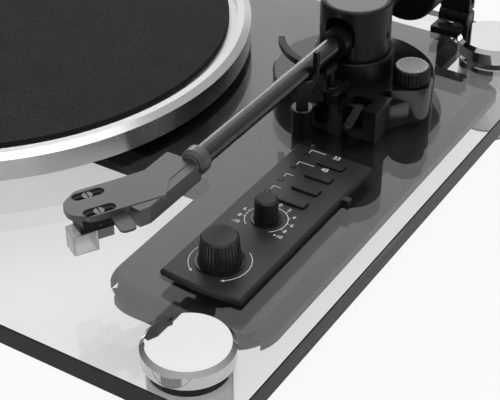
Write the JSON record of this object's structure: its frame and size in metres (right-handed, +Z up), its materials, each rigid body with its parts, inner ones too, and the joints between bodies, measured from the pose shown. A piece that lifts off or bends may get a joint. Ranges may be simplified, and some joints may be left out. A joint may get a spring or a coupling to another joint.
{
  "type": "turntable record player",
  "caption": "Belt-drive record player with clear plinth, black chassis, chrome feet, platter with felt mat, straight tonearm with angled headshell, and a flat control panel.",
  "frame": {"origin": "on the ground under the middle of the plinth", "axes": "+X to the right as seen by the user in front, +Y to the rear, +Z up; tonearm on the right, control panel front right"},
  "size_m": [0.45, 0.355, 0.1153],
  "materials": {
    "clear_acrylic": "polished",
    "black_plastic": "satin",
    "chrome": "polished",
    "rubber": "matte",
    "platter_metal": "polished",
    "felt": "matte",
    "steel": "satin",
    "brass": "satin",
    "black_metal": "satin",
    "panel_black": "satin",
    "knob_black": "satin",
    "gloss_black": "gloss",
    "grey_cap": "satin",
    "white_plastic": "satin",
    "grey_plastic": "satin",
    "red_lens": "gloss",
    "board_green": "satin",
    "weight_metal": "satin"
  },
  "bodies": {
    "plinth": {"acrylic_plinth": "clear_acrylic", "sub_plinth": "black_plastic", "bottom_cover": "black_plastic", "cover_screws": "steel", "foot_pillars": "chrome", "foot_caps": "chrome", "foot_pads": "rubber", "foot_studs": "steel", "bearing_housing": "brass", "thrust_ball": "steel", "motor_body": "steel", "drive_belt": "rubber", "control_panel": "panel_black", "control_board": "board_green", "potentiometers": "grey_plastic", "tact_switches": "black_plastic", "panel_leds": "red_lens", "knob_seats": "gloss_black", "arm_pod": "gloss_black", "arm_base_nut": "steel", "arm_collar": "black_metal", "arm_post": "steel", "rest_post": "black_metal", "rest_ring": "gloss_black", "rest_cradle": "black_plastic", "lift_cylinder": "black_metal", "hinge_bases": "black_plastic", "hinge_pins": "steel", "phono_sockets": "brass", "power_inlet": "black_plastic", "ground_terminal": "steel"},
    "platter": {"platter": "platter_metal", "platter_mat": "felt", "spindle": "steel"},
    "pulley": {"motor_pulley": "brass"},
    "tower": {"tower_housing": "black_metal", "tower_cap": "grey_cap", "pivot_screws": "steel"},
    "arm": {"gimbal_block": "black_metal", "arm_tube": "gloss_black", "headshell": "black_metal", "finger_lift": "black_metal", "headshell_screws": "chrome", "cartridge_body": "black_plastic", "stylus_holder": "grey_plastic", "stylus_guard": "white_plastic"},
    "force_dial": {"force_dial": "black_metal"},
    "counterweight": {"counterweight": "weight_metal"},
    "anti_skate": {"anti_skate_knob": "black_metal"},
    "arm_clip": {"arm_clip": "black_metal"},
    "cue_lever": {"cue_lever": "black_metal"},
    "lift": {"lift_rail": "black_metal"},
    "button_33": {"button_33": "panel_black"},
    "button_45": {"button_45": "panel_black"},
    "button_pair": {"button_pair": "panel_black"},
    "button_start": {"button_start": "panel_black"},
    "pitch_knob": {"pitch_knob": "knob_black"},
    "volume_knob": {"volume_knob": "knob_black"},
    "hinge_right": {"hinge_leaf_right": "black_plastic"},
    "hinge_left": {"hinge_leaf_left": "black_plastic"}
  },
  "joints": [
    {"name": "platter_spin", "type": "hinge", "parent": "plinth", "child": "platter", "pos_m": [-0.057, 0.0085, 0.053], "axis": [0, 0, 1], "continuous": true},
    {"name": "pulley_spin", "type": "hinge", "parent": "plinth", "child": "pulley", "pos_m": [-0.1362, 0.0877, 0.0578], "axis": [0, 0, 1], "continuous": true},
    {"name": "arm_yaw", "type": "hinge", "parent": "plinth", "child": "tower", "pos_m": [0.1493, 0.0625, 0.0719], "axis": [0, 0, 1], "range_deg": [-52, 0]},
    {"name": "arm_pitch", "type": "hinge", "parent": "tower", "child": "arm", "pos_m": [0.1493, 0.0625, 0.0953], "axis": [-1, 0, 0], "range_deg": [0, 8]},
    {"name": "force_dial_turn", "type": "hinge", "parent": "arm", "child": "force_dial", "pos_m": [0.1493, 0.1155, 0.0953], "axis": [0, 1, 0], "continuous": true},
    {"name": "counterweight_turn", "type": "hinge", "parent": "arm", "child": "counterweight", "pos_m": [0.1493, 0.1275, 0.0953], "axis": [0, 1, 0], "continuous": true},
    {"name": "anti_skate_turn", "type": "hinge", "parent": "plinth", "child": "anti_skate", "pos_m": [0.181, 0.066, 0.0719], "axis": [0, 0, -1], "range_deg": [0, 270]},
    {"name": "cue_lever_turn", "type": "hinge", "parent": "plinth", "child": "cue_lever", "pos_m": [0.1679, 0.0355, 0.066], "axis": [-1, 0, 0], "range_deg": [0, 70]},
    {"name": "arm_clip_turn", "type": "hinge", "parent": "plinth", "child": "arm_clip", "pos_m": [0.1506, 0.01215, 0.0853], "axis": [0, 1, 0], "range_deg": [0, 35]},
    {"name": "lift_slide", "type": "slide", "parent": "plinth", "child": "lift", "axis": [0, 0, 1], "range_m": [-0.004, 0]},
    {"name": "button_start_press", "type": "slide", "parent": "plinth", "child": "button_start", "axis": [0, 0, -1], "range_m": [0, 0.001], "stiffness_N_per_m": 300, "springref_m": -0.0005},
    {"name": "button_pair_press", "type": "slide", "parent": "plinth", "child": "button_pair", "axis": [0, 0, -1], "range_m": [0, 0.001], "stiffness_N_per_m": 300, "springref_m": -0.0005},
    {"name": "button_45_press", "type": "slide", "parent": "plinth", "child": "button_45", "axis": [0, 0, -1], "range_m": [0, 0.001], "stiffness_N_per_m": 300, "springref_m": -0.0005},
    {"name": "button_33_press", "type": "slide", "parent": "plinth", "child": "button_33", "axis": [0, 0, -1], "range_m": [0, 0.001], "stiffness_N_per_m": 300, "springref_m": -0.0005},
    {"name": "pitch_turn", "type": "hinge", "parent": "plinth", "child": "pitch_knob", "pos_m": [0.17, -0.0585, 0.0562], "axis": [0, 0, -1], "range_deg": [-140, 140]},
    {"name": "volume_turn", "type": "hinge", "parent": "plinth", "child": "volume_knob", "pos_m": [0.1691, -0.0959, 0.0562], "axis": [0, 0, -1], "range_deg": [0, 270]},
    {"name": "hinge_right_turn", "type": "hinge", "parent": "plinth", "child": "hinge_right", "pos_m": [0.161, 0.1665, 0.06], "axis": [-1, 0, 0], "range_deg": [0, 60]},
    {"name": "hinge_left_turn", "type": "hinge", "parent": "plinth", "child": "hinge_left", "pos_m": [-0.161, 0.1665, 0.06], "axis": [-1, 0, 0], "range_deg": [0, 60]}
  ],
  "couplings": [
    {"joint": "pulley_spin", "follows": "platter_spin", "ratio": 14},
    {"joint": "cue_lever_turn", "follows": "lift_slide", "rad_per_m": -305.43},
    {"joint": "hinge_left_turn", "follows": "hinge_right_turn", "ratio": 1}
  ]
}
